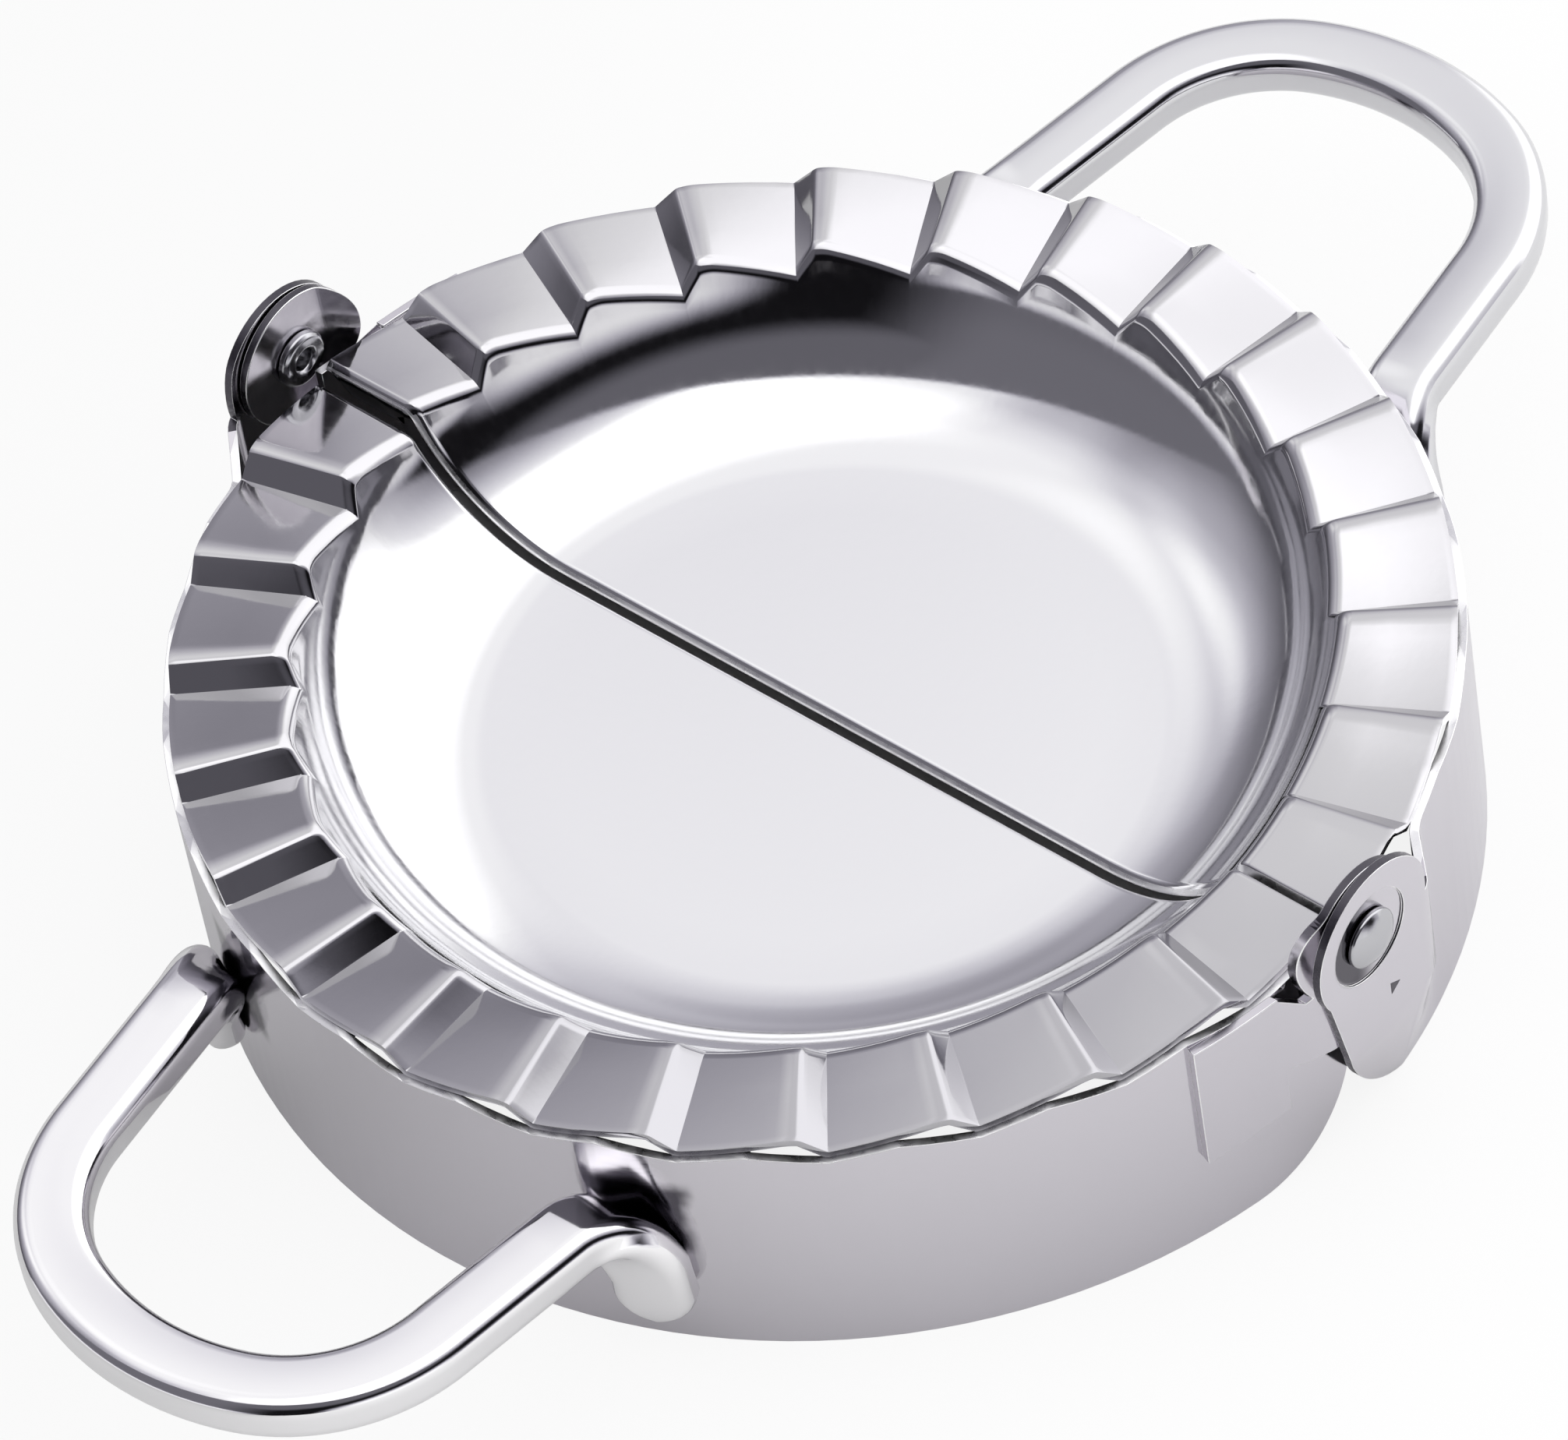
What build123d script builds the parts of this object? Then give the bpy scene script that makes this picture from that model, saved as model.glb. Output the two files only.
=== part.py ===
from build123d import *
import os
from math import acos, asin, cos, degrees, radians, sin, sqrt

os.makedirs("parts", exist_ok=True)

# Empanada press, lying open and flat. Two like halves turn about one hinge line.
# Millimetres. +Z is up and Z = 0 is the table. The hinge line runs along X above the
# split (Y = 0), and the halves reach out to -Y (fixed half) and +Y (moving half).

# ---- driving dimensions -------------------------------------------------------------
rim_radius = 47.5         # outer edge of the crimping rim
split_trim = 1.1          # each half is cut this far short of its circle's centre
split_gap = 0.3           # slit between the two halves when the press lies open
rim_height = 21.3         # table to the mid height of the crimping teeth
tooth_count = 14          # teeth on the rim of one half
riser_angle = 3.0         # degrees taken by the steep side of a tooth
tooth_swing_outer = 0.68  # half height of a tooth at the outer edge
tooth_swing_inner = 0.88  # half height of a tooth at the inner edge
wall_climb_angle = 7.0    # the wall's top edge climbs each riser more slowly
end_run_on = 4.0          # degrees the tooth line is drawn on past the split
pan_sheet = 0.6
wall_sheet = 0.7

bowl_mouth_radius = 38.6  # inner edge of the rim
bowl_depth = 9.0          # mid height of the teeth down to the bowl's floor
bowl_floor_radius = 25.6  # flat part of the floor
bowl_corner_radius = 14.0
ledge_depth = 2.4         # top of the narrow ledge under the mouth
ledge_drop = 0.7

wall_corner_radius = 10.0     # rounded lower corner of the wall's plain end
flare_start_angle = 16.0      # where the wall leaves the rim to pass outside the hinge
flare_heading = 45.0
flare_radius_in = 4.0
flare_radius_out = 3.0
flare_full_height = 12.0      # the wall's foot stays on its circle, and flares up to here

hinge_rise = 0.9              # hinge line above the mid height of the teeth
inner_ear_face = 49.6         # distance of the inner ear's inner face from the centre
outer_ear_face = 50.45        # the same for the outer ear
inner_ear_radius = 5.65
outer_ear_radius = 6.15
outer_ear_shift = 0.5         # the outer ear's round end is this far off the hinge line,
outer_ear_drop = 0.3          # towards its own half, and this far below it
ear_side_angle = 30.0         # where the ear's disc meets its straight side
ear_waist_y = -3.5            # lower end of that straight side
ear_waist_drop = 9.2          # below mid height of the teeth
ear_belly_y = -0.4            # a point on the curve from there to the wall's foot
ear_belly_drop = 15.6
ear_toe_y = 5.5               # where that curve reaches the table
ear_overlap = 0.3             # the ear and the wall are joined over this length
seat_radius = 3.9             # shallow hollow hammered in the outer ear round the rivet
seat_depth = 0.2
rivet_radius = 1.5
rivet_head_radius = 2.7
rivet_head_height = 1.3
rivet_head_rim = 0.35         # straight part of the head's edge
rivet_tail_radius = 2.3
rivet_tail_height = 0.8
rivet_tail_lip = 0.3
rivet_bore_radius = 0.9
rivet_bore_depth = 1.6
running_clearance = 0.05      # on the radius, in the ear that turns on the rivet
end_clearance = 0.1           # between that ear and the rivet's head or tail

bracket_sheet = 0.7
bracket_far_angle = 18.3      # from the hinge round to the bracket's far edge
bracket_bend_angle = 10.0     # where it leaves the wall
bracket_bend_heading = 30.0
bracket_bend_radius = 2.0
bracket_top = 0.9             # below mid height of the teeth
bracket_bottom = 13.0
tongue_step_y = -5.3          # the tongue's top edge slopes down to here
tongue_step_drop = 2.4
tongue_bottom = 8.7
tongue_rise = 1.0             # its bottom edge climbs this much to the hinge line
tongue_chin_angle = 53.0      # where the bottom edge meets the ear's disc

handle_width = 5.5
handle_thickness = 3.8
handle_top = 4.7              # below mid height of the teeth
handle_reach = 75.8           # split line to the end of the loop
handle_tip_radius = 24.7
handle_corner_radius = 16.7
handle_leg_lean = 7.4         # degrees by which the legs draw together outwards
handle_leg_half_gap = 17.5    # centre line of a leg, at leg_gauge from the split
handle_leg_gauge = 54.0
handle_leg_start = 40.0       # the legs are drawn from inside the wall
handle_shift = -1.4           # the handle is welded on a little off the middle, along X
handle_bend_radius = 4.5      # outside of the bend down onto the wall
handle_edge_radius = 0.9
foot_middle = 21.8            # from the handle's middle to the middle of a foot
foot_thickness = 2.9
# round corners of a foot's outline on the wall: across from its middle, drop, radius
foot_heel = (-2.8, 7.6, 2.5)
foot_hip = (-0.2, 11.0, 3.1)
foot_toe = (0.4, 13.8, 3.1)

tack_radius = 1.1             # weld beads that hold the pan inside the wall
tack_inset = 0.3
first_tack = 2                # the tread, counted from the hinge, over the first bead
tack_spacing = 3              # treads from one bead to the next

# ---- worked out ---------------------------------------------------------------------
wall_inner = rim_radius
wall_outer = wall_inner + wall_sheet
tooth_pitch = 180.0 / tooth_count
tread_angle = tooth_pitch - riser_angle
hinge_height = rim_height + hinge_rise
half_gap = split_gap / 2
inside_wall = wall_inner - 8      # cutting blocks reach from here
outside_wall = wall_outer + 12    # to here
bowl_floor = rim_height - bowl_depth
bowl_arc_height = bowl_floor + bowl_corner_radius
reach = 200.0             # longer than anything on the press
below_table = -5.0        # cutting blocks start here
block_height = 40.0       # and stand taller than the press


def rim_point(radius, angle, height):
    """A point round the moving half's rim, with the angle counted from -X over +Y."""
    turn = radians(angle)
    return (-radius * cos(turn), radius * sin(turn) - split_trim, height)


def swing_at(radius):
    share = (radius - bowl_mouth_radius) / (rim_radius - bowl_mouth_radius)
    return tooth_swing_inner + share * (tooth_swing_outer - tooth_swing_inner)


def tooth_line(climb_angle):
    """Angle and height, as a share of the swing, of each corner of the tooth line.

    Each riser is climbed within climb_angle, and both ends run on past the split."""
    slope = 2.0 / tread_angle
    line = [(riser_angle / 2 - end_run_on, 1.0 + slope * end_run_on)]
    for tooth in range(1, tooth_count):
        foot = tooth * tooth_pitch - riser_angle / 2
        line.append((foot, -1.0))
        line.append((foot + climb_angle, 1.0 - slope * (climb_angle - riser_angle)))
    last = 180.0 - riser_angle / 2 + end_run_on
    line.append((last, -1.0 - slope * end_run_on))
    return line


def toothed_block(line, drop, inner, outer, bottom):
    """A block over the moving half whose top follows a tooth line, lowered by drop."""
    def corner(radius, angle, share):
        return Vector(rim_point(radius, angle, rim_height - drop + share * swing_at(radius)))

    def floor_corner(radius, angle):
        return Vector(rim_point(radius, angle, bottom))

    faces = []
    for (a0, s0), (a1, s1) in zip(line, line[1:]):
        p0, p1 = corner(outer, a0, s0), corner(outer, a1, s1)
        q0, q1 = corner(inner, a0, s0), corner(inner, a1, s1)
        fp0, fp1 = floor_corner(outer, a0), floor_corner(outer, a1)
        fq0, fq1 = floor_corner(inner, a0), floor_corner(inner, a1)
        faces.append(
            Face.make_surface_from_curves(Edge.make_line(p0, p1), Edge.make_line(q0, q1))
        )
        faces.append(Face(Wire.make_polygon([p0, p1, fp1, fp0])))
        faces.append(Face(Wire.make_polygon([q0, q1, fq1, fq0])))
        faces.append(Face(Wire.make_polygon([fp0, fp1, fq1, fq0])))
    for angle, share in (line[0], line[-1]):
        ring = [corner(outer, angle, share), corner(inner, angle, share)]
        ring += [floor_corner(inner, angle), floor_corner(outer, angle)]
        faces.append(Face(Wire.make_polygon(ring)))
    return Solid(Shell(faces))


def half_space():
    """Everything on the moving half's side of the slit."""
    return Pos(0, half_gap + reach / 2, 0) * Box(reach, reach, reach)


def rim_cylinder(radius, low, high):
    return Pos(0, -split_trim, low) * extrude(Circle(radius), high - low)


# ---- pan: one pressed sheet, a toothed rim round half a bowl -------------------------
def make_pan():
    block_inner = bowl_mouth_radius / 2
    block_outer = rim_radius * 1.2
    teeth = toothed_block(tooth_line(riser_angle), 0, block_inner, block_outer, below_table)
    under_teeth = toothed_block(
        tooth_line(riser_angle), pan_sheet, block_inner, block_outer, below_table - 1
    )
    ring = rim_cylinder(rim_radius, 0, block_height)
    ring -= rim_cylinder(bowl_mouth_radius, below_table, block_height + 1)
    rim = (teeth & ring) - under_teeth

    ledge = rim_height - ledge_depth
    mouth = bowl_mouth_radius
    arc_top = ledge - ledge_drop
    inner_arc = acos((bowl_arc_height - arc_top) / bowl_corner_radius)
    outer_radius = bowl_corner_radius + pan_sheet
    outer_arc = acos((bowl_arc_height - arc_top + pan_sheet) / outer_radius)
    high = rim_height + 5     # cut back by the teeth

    def on_arc(radius, angle):
        return (bowl_floor_radius + radius * sin(angle), bowl_arc_height - radius * cos(angle))

    inside = [
        Line((0, bowl_floor), (bowl_floor_radius, bowl_floor)),
        ThreePointArc(
            (bowl_floor_radius, bowl_floor),
            on_arc(bowl_corner_radius, inner_arc / 2),
            on_arc(bowl_corner_radius, inner_arc),
        ),
        Polyline(on_arc(bowl_corner_radius, inner_arc), (mouth, ledge), (mouth, high)),
    ]
    outside = [
        Polyline(
            (mouth, high),
            (mouth + pan_sheet, high),
            (mouth + pan_sheet, ledge - pan_sheet / 2),
            on_arc(outer_radius, outer_arc),
        ),
        ThreePointArc(
            on_arc(outer_radius, outer_arc),
            on_arc(outer_radius, outer_arc / 2),
            (bowl_floor_radius, bowl_floor - pan_sheet),
        ),
        Polyline(
            (bowl_floor_radius, bowl_floor - pan_sheet),
            (0, bowl_floor - pan_sheet),
            (0, bowl_floor),
        ),
    ]
    section = make_face(inside + outside)
    bowl = Pos(0, -split_trim, 0) * revolve(Plane.XZ * section, Axis.Z, 360)
    floor_disc = rim_cylinder(block_inner + 1, 0, bowl_floor + 1)
    bowl = (bowl & teeth) + (bowl & floor_disc)
    return (rim + bowl) & half_space()


# ---- cutter wall: half a ring of strip, whose one end runs on as the outer ear -------
def flare_line(offset):
    """The strip in plan from the rim out to the ear, offset outwards from its middle."""
    middle = wall_inner + wall_sheet / 2
    start_turn = radians(flare_start_angle)
    head_turn = radians(flare_heading)
    shift_out = flare_radius_in * (cos(start_turn) - cos(head_turn))
    shift_back = flare_radius_out * (1 - cos(head_turn))
    ear_middle = outer_ear_face + wall_sheet / 2
    straight = (ear_middle - middle * cos(start_turn) - shift_out - shift_back) / sin(head_turn)

    radius = middle + offset
    start = Vector(radius * cos(start_turn), radius * sin(start_turn) - split_trim)
    heading = Vector(sin(start_turn), -cos(start_turn))
    turn_out = JernArc(
        start, heading, flare_radius_in - offset, flare_heading - flare_start_angle
    )
    ramp = Line(turn_out @ 1, turn_out @ 1 + (turn_out % 1) * straight)
    turn_back = JernArc(ramp @ 1, ramp % 1, flare_radius_out + offset, -flare_heading)
    ear = Line(turn_back @ 1, ((turn_back @ 1).X, -outer_ear_radius - 2))
    return [turn_out, ramp, turn_back, ear]


def flare_foot_line(offset):
    """The same stretch of the strip at the table, where it keeps to its circle."""
    middle = wall_inner + wall_sheet / 2
    pieces = flare_line(0)
    stations = [(pieces[0] @ 0).Y] + [(piece @ 1).Y for piece in pieces]
    angles = [degrees(asin((y + split_trim) / middle)) for y in stations]
    centre = (0, -split_trim)
    return [CenterArc(centre, middle + offset, a, b - a) for a, b in zip(angles, angles[1:])]


def strip_face(line):
    """The strip's thickness in plan, between its outer and its inner line."""
    outer = line(wall_sheet / 2)
    inner = line(-wall_sheet / 2)
    near_end = Line(outer[0] @ 0, inner[0] @ 0)
    far_end = Line(outer[-1] @ 1, inner[-1] @ 1)
    return make_face(outer + [far_end] + inner + [near_end])


def side_prism(outline, low_x, high_x):
    """A closed outline drawn in (Y, Z), pushed through from low_x to high_x."""
    return Pos(low_x, 0, 0) * extrude(Plane.YZ * outline, high_x - low_x)


def hinge_drill(radius, low_x, high_x):
    """A round bar on the hinge line."""
    return Pos(low_x, 0, hinge_height) * Rot(0, 90, 0) * extrude(Circle(radius), high_x - low_x)


def make_wall(bore_radius):
    tall = hinge_height + 2 * outer_ear_radius
    end_angle = 180 - degrees(asin((split_trim + half_gap) / wall_outer))
    sweep_angle = end_angle - flare_start_angle
    middle = wall_inner + wall_sheet / 2
    round_line = CenterArc((0, -split_trim), middle, end_angle, -sweep_angle)
    flared_face = strip_face(flare_line)
    foot_face = strip_face(flare_foot_line)
    flared_foot = loft([foot_face, Pos(0, 0, flare_full_height) * flared_face], ruled=True)
    flared_top = Pos(0, 0, flare_full_height) * extrude(flared_face, tall - flare_full_height)
    strip = extrude(trace(round_line, wall_sheet), tall) + flared_foot + flared_top

    top_line = tooth_line(wall_climb_angle)
    top = toothed_block(top_line, pan_sheet, inside_wall, outside_wall, below_table)
    ear_start = outer_ear_radius + outer_ear_shift - ear_overlap
    beyond_ear = Pos(reach / 2, ear_start - reach / 2, 0) * Box(reach, reach, reach)
    beyond_split = Pos(-reach / 2, half_gap - reach / 2, 0) * Box(reach, reach, reach)
    ring = (strip & top) - beyond_ear - beyond_split

    # outer ear: a round end about the hinge line, on a body that narrows towards it
    ear_centre = (outer_ear_shift, hinge_height - outer_ear_drop)
    ear_disc = Pos(*ear_centre) * Circle(outer_ear_radius)
    side_angle = radians(ear_side_angle)
    touch_y = ear_centre[0] - outer_ear_radius * cos(side_angle)
    touch_z = ear_centre[1] - outer_ear_radius * sin(side_angle)
    wall_top_at_ear = rim_height - pan_sheet - tooth_swing_outer
    ear_body = make_face(
        Polyline(
            (ear_start, wall_top_at_ear),
            ear_centre,
            (touch_y, touch_z),
            (touch_y, below_table),
            (ear_start, below_table),
            close=True,
        )
    )
    ear = strip & side_prism(ear_disc + ear_body, inside_wall, outside_wall)
    wall = ring + ear
    waist = (ear_waist_y, rim_height - ear_waist_drop)
    belly = (ear_belly_y, rim_height - ear_belly_drop)
    side = touch_y - wall_corner_radius
    below_ear = make_face(
        [
            Line((touch_y, touch_z), waist),
            ThreePointArc(waist, belly, (ear_toe_y, 0)),
            Polyline(
                (ear_toe_y, 0),
                (ear_toe_y, below_table),
                (side, below_table),
                (side, touch_z),
                (touch_y, touch_z),
            ),
        ]
    )
    wall -= side_prism(below_ear, 0, outside_wall)

    # plain end: rounded lower corner
    r = wall_corner_radius
    corner_square = Pos(half_gap, 0) * Rectangle(2 * r, 2 * r)
    corner_round = Pos(half_gap + r, r) * Circle(r)
    wall -= side_prism(corner_square - corner_round, -outside_wall, -inside_wall)

    # shallow seat round the rivet, and the rivet's bore
    seat = hinge_drill(seat_radius, outer_ear_face + wall_sheet - seat_depth, outside_wall)
    bore = hinge_drill(bore_radius, inside_wall, outside_wall)
    return wall - seat - bore


# ---- hinge bracket: a joggled plate on the plain end, carrying the inner ear ---------
def make_bracket(bore_radius):
    """Drawn for the fixed half's end at +X, on the outside of its wall."""
    middle = wall_outer + bracket_sheet / 2
    on_wall = CenterArc(
        (0, split_trim), middle, -bracket_far_angle, bracket_far_angle - bracket_bend_angle
    )
    ear_middle = inner_ear_face + bracket_sheet / 2
    turn_out = JernArc(
        on_wall @ 1,
        on_wall % 1,
        bracket_bend_radius,
        -(bracket_bend_heading - bracket_bend_angle),
    )
    turn_back_shift = bracket_bend_radius * (1 - cos(radians(bracket_bend_heading)))
    way_to_go = ear_middle - turn_back_shift - (turn_out @ 1).X
    straight = way_to_go / sin(radians(bracket_bend_heading))
    ramp = Line(turn_out @ 1, turn_out @ 1 + (turn_out % 1) * straight)
    turn_back = JernArc(ramp @ 1, ramp % 1, bracket_bend_radius, bracket_bend_heading)
    ear = Line(turn_back @ 1, (ear_middle, inner_ear_radius + 1))
    pieces = [on_wall, turn_out, ramp, turn_back, ear]
    tall = hinge_height + 2 * inner_ear_radius
    strip = Part() + [extrude(trace(piece, bracket_sheet), tall) for piece in pieces]

    top = rim_height - bracket_top
    bottom = rim_height - bracket_bottom
    bend_y = (on_wall @ 1).Y
    plate_end = bend_y + ear_overlap
    far_y = -wall_outer
    plate = make_face(
        Polyline(
            (far_y, top), (plate_end, top), (plate_end, bottom), (far_y, bottom), close=True
        )
    )
    chin_y = inner_ear_radius * cos(radians(tongue_chin_angle))
    chin_z = hinge_height - inner_ear_radius * sin(radians(tongue_chin_angle))
    tongue = make_face(
        Polyline(
            (bend_y, top),
            (tongue_step_y, rim_height - tongue_step_drop),
            (0, hinge_height),
            (chin_y, chin_z),
            (0, rim_height - tongue_bottom + tongue_rise),
            (tongue_step_y, rim_height - tongue_bottom),
            (bend_y, rim_height - tongue_bottom),
            close=True,
        )
    )
    disc = Pos(0, hinge_height) * Circle(inner_ear_radius)
    bracket = strip & side_prism(plate + tongue + disc, inside_wall, outside_wall)
    return bracket - hinge_drill(bore_radius, inside_wall, outside_wall)


# ---- rivets: semi-tubular, head outside the outer ear, tail rolled inside ------------
def make_rivet(head_face, tail_face):
    """Along +X, for the end at +X: one turned section, with a hollow tail."""
    tail_end = tail_face - rivet_tail_height
    bore_end = tail_end + rivet_bore_depth
    dome_start = head_face + rivet_head_rim
    head_top = head_face + rivet_head_height
    dome = rivet_head_height - rivet_head_rim
    dome_radius = (rivet_head_radius**2 + dome**2) / (2 * dome)
    half_way = rivet_head_radius / 2
    half_way_x = head_top - dome_radius + sqrt(dome_radius**2 - half_way**2)
    profile = [
        Polyline(
            (head_top, 0),
            (bore_end, 0),
            (bore_end, rivet_bore_radius),
            (tail_end + rivet_tail_lip, rivet_bore_radius),
            (tail_end, rivet_bore_radius + rivet_tail_lip),
            (tail_end, rivet_tail_radius - rivet_tail_lip),
            (tail_end + rivet_tail_lip, rivet_tail_radius),
            (tail_face, rivet_tail_radius),
            (tail_face, rivet_radius),
            (head_face, rivet_radius),
            (head_face, rivet_head_radius),
            (dome_start, rivet_head_radius),
        ),
        ThreePointArc((dome_start, rivet_head_radius), (half_way_x, half_way), (head_top, 0)),
    ]
    return Pos(0, 0, hinge_height) * revolve(make_face(profile), Axis.X, 360)


# ---- handle: a flat-topped loop whose ends turn down onto the wall -------------------
def handle_line():
    """Middle line of the loop's right half in plan, from inside the wall to the end."""
    lean = radians(handle_leg_lean)
    tip_y = handle_reach - handle_width / 2
    tip_r = handle_tip_radius - handle_width / 2
    corner_r = handle_corner_radius - handle_width / 2
    tip_centre = tip_y - tip_r
    # the corner arc touches both the leg and the tip arc
    bisections = 60
    offset = tip_r - corner_r
    leg_x = handle_leg_half_gap - corner_r / cos(lean)
    leg_y = handle_leg_gauge
    low, high = 0.0, radians(90)
    for _ in range(bisections):
        mid = (low + high) / 2
        x = offset * sin(mid)
        y = tip_centre + offset * cos(mid)
        if x * cos(lean) + (y - leg_y) * sin(lean) < leg_x * cos(lean):
            low = mid
        else:
            high = mid
    turn = (low + high) / 2
    corner = Vector(offset * sin(turn), tip_centre + offset * cos(turn))
    meet = corner + Vector(sin(turn), cos(turn)) * corner_r
    leave = corner + Vector(cos(lean), sin(lean)) * corner_r
    half_turn = (turn + (radians(90) - lean)) / 2
    mid_corner = corner + Vector(sin(half_turn), cos(half_turn)) * corner_r
    mid_tip = Vector(tip_r * sin(turn / 2), tip_centre + tip_r * cos(turn / 2))
    leg_start_x = leave.X + (leave.Y - handle_leg_start) * sin(lean) / cos(lean)
    leg_start = Vector(leg_start_x, handle_leg_start)
    return [
        Line(leg_start, leave),
        ThreePointArc(leave, mid_corner, meet),
        ThreePointArc(meet, mid_tip, (0, tip_y)),
    ]


def rounded_strip(path):
    """Flat bar with rounded edges along a plan line, at the handle's height."""
    section = RectangleRounded(handle_width, handle_thickness, handle_edge_radius)
    along = path % 0
    plane = Plane(origin=path @ 0, x_dir=along.cross(Vector(0, 0, 1)), z_dir=along)
    return sweep(plane * section, path=path)


def foot_outline(side):
    """One foot's outline on the wall, with +X outwards on the right foot."""
    corners = Sketch()
    for across, drop, radius in (foot_heel, foot_hip, foot_toe):
        corners += Pos(side * across, -drop) * Circle(radius)
    return make_hull(corners.edges())


def make_handle():
    bar_middle = rim_height - handle_top - handle_thickness / 2
    right = [piece.edge() for piece in handle_line()]
    left = [mirror(piece, Plane.YZ).edge() for piece in right]
    bar = Pos(handle_shift, 0, bar_middle) * rounded_strip(Wire(right + left))

    top = rim_height - handle_top
    wall_face = Plane(origin=(0, 0, rim_height), x_dir=(1, 0, 0), z_dir=(0, -1, 0))
    feet = Part()
    for side in (1, -1):
        foot_x = side * foot_middle + handle_shift
        foot_angle = degrees(asin(foot_x / (wall_outer + foot_thickness)))
        tongue = extrude(wall_face * foot_outline(side), -reach)
        feet += Pos(0, -split_trim, 0) * Rot(0, 0, -foot_angle) * tongue
    wall_inside = rim_cylinder(wall_outer, -1, top + 1)
    ring = rim_cylinder(wall_outer + foot_thickness, 0, top) - wall_inside
    handle = (bar + (feet & ring)) - rim_cylinder(wall_outer, 0, rim_height)

    # round the bend where the top of the bar turns down onto the wall
    bend = handle_bend_radius
    square = Pos(wall_outer + bend / 2 - 1, top - bend / 2 + 1) * Rectangle(bend + 2, bend + 2)
    disc = Pos(wall_outer + bend, top - bend) * Circle(bend)
    beyond = Pos(wall_outer + bend + 2, top - bend) * Rectangle(4, 2 * bend + 4)
    lower = Pos(wall_outer + bend / 2, top - bend - 2) * Rectangle(bend + 4, 4)
    shoulder = square - disc - beyond - lower
    ring_cutter = Pos(0, -split_trim, 0) * revolve(Plane.XZ * shoulder, Axis.Z, 360)
    return handle - ring_cutter


# ---- weld beads in the corner under the rim, inside the wall ---------------------------
def make_pan_welds():
    under_teeth = toothed_block(
        tooth_line(riser_angle), pan_sheet, bowl_mouth_radius, wall_outer, below_table
    )
    inside = rim_cylinder(wall_inner, 0, block_height)
    beads = Part()
    for tread in range(first_tack, tooth_count, tack_spacing):
        angle = (tread - 0.5) * tooth_pitch
        spot = rim_point(wall_inner - tack_inset, angle, rim_height - pan_sheet - tack_inset)
        beads += Pos(*spot) * Sphere(tack_radius)
    return beads & under_teeth & inside


# ---- write one file for each node ----------------------------------------------------
def turned(part):
    """The part turned half a turn about the middle, to where its like part lies."""
    return Rot(0, 0, 180) * part


def write(name, part):
    part.label = name
    export_step(part, "parts/" + name + ".step")


pan = make_pan()
write("moving_pan", pan)
write("fixed_pan", turned(pan))

pan_welds = make_pan_welds()
write("moving_pan_welds", pan_welds)
write("fixed_pan_welds", turned(pan_welds))

turning_bore = rivet_radius + running_clearance
write("moving_cutter_wall", make_wall(turning_bore))
write("fixed_cutter_wall", turned(make_wall(rivet_radius)))

write("fixed_hinge_bracket", make_bracket(rivet_radius))
write("moving_hinge_bracket", turned(make_bracket(turning_bore)))

seat_face = outer_ear_face + wall_sheet - seat_depth
write("right_hinge_rivet", make_rivet(seat_face + end_clearance, inner_ear_face))
write("left_hinge_rivet", turned(make_rivet(seat_face, inner_ear_face - end_clearance)))

handle = make_handle()
write("moving_handle", handle)
write("fixed_handle", mirror(handle, Plane.XZ))
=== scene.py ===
from math import acos, asin, atan2, cos, pi, radians, sin, sqrt

import bmesh
import bpy
from mathutils import Matrix, Vector


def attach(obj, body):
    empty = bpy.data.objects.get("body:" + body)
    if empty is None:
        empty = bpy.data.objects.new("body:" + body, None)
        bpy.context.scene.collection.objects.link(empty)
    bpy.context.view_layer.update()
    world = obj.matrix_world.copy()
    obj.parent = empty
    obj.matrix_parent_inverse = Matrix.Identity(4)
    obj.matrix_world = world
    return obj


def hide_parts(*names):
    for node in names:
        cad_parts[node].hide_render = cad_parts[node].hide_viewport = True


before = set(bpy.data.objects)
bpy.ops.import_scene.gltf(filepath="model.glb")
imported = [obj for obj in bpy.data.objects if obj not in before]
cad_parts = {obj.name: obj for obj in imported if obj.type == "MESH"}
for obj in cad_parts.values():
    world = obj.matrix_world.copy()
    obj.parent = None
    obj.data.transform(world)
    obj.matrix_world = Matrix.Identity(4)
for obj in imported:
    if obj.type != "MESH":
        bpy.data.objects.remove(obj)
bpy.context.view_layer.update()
scene = bpy.context.scene
scene.view_settings.view_transform = "Standard"

# ---- Camera --------------------------------------------------------------------------
# A long lens looks down on the open press from the fixed half's side, a little to the
# right, and is rolled so that the hinge line runs down across the frame.
MM = 0.001
camera_azimuth = radians(47.45)
camera_elevation = radians(48.52)
camera_roll = radians(-10.50)
camera_distance = 739.7
aim_across, aim_upward = -1.814, -5.724
teeth_height = 21.3
back = Vector((
    sin(camera_azimuth) * cos(camera_elevation),
    -cos(camera_azimuth) * cos(camera_elevation),
    sin(camera_elevation),
))
level = Vector((cos(camera_azimuth), sin(camera_azimuth), 0.0))
rise = back.cross(level)
across = cos(camera_roll) * level + sin(camera_roll) * rise
upward = cos(camera_roll) * rise - sin(camera_roll) * level
eye = across * aim_across + upward * aim_upward + back * camera_distance
eye += Vector((0.0, 0.0, teeth_height))
camera_data = bpy.data.cameras.new("camera")
camera_data.sensor_width = 36.0
camera_data.lens = 235.03
camera_data.clip_start = 0.01
camera_data.clip_end = 20.0
camera = bpy.data.objects.new("camera", camera_data)
scene.collection.objects.link(camera)
turn = Matrix((across, upward, back)).transposed()
camera.matrix_world = Matrix.Translation(eye * MM) @ turn.to_4x4()
scene.camera = camera

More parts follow.
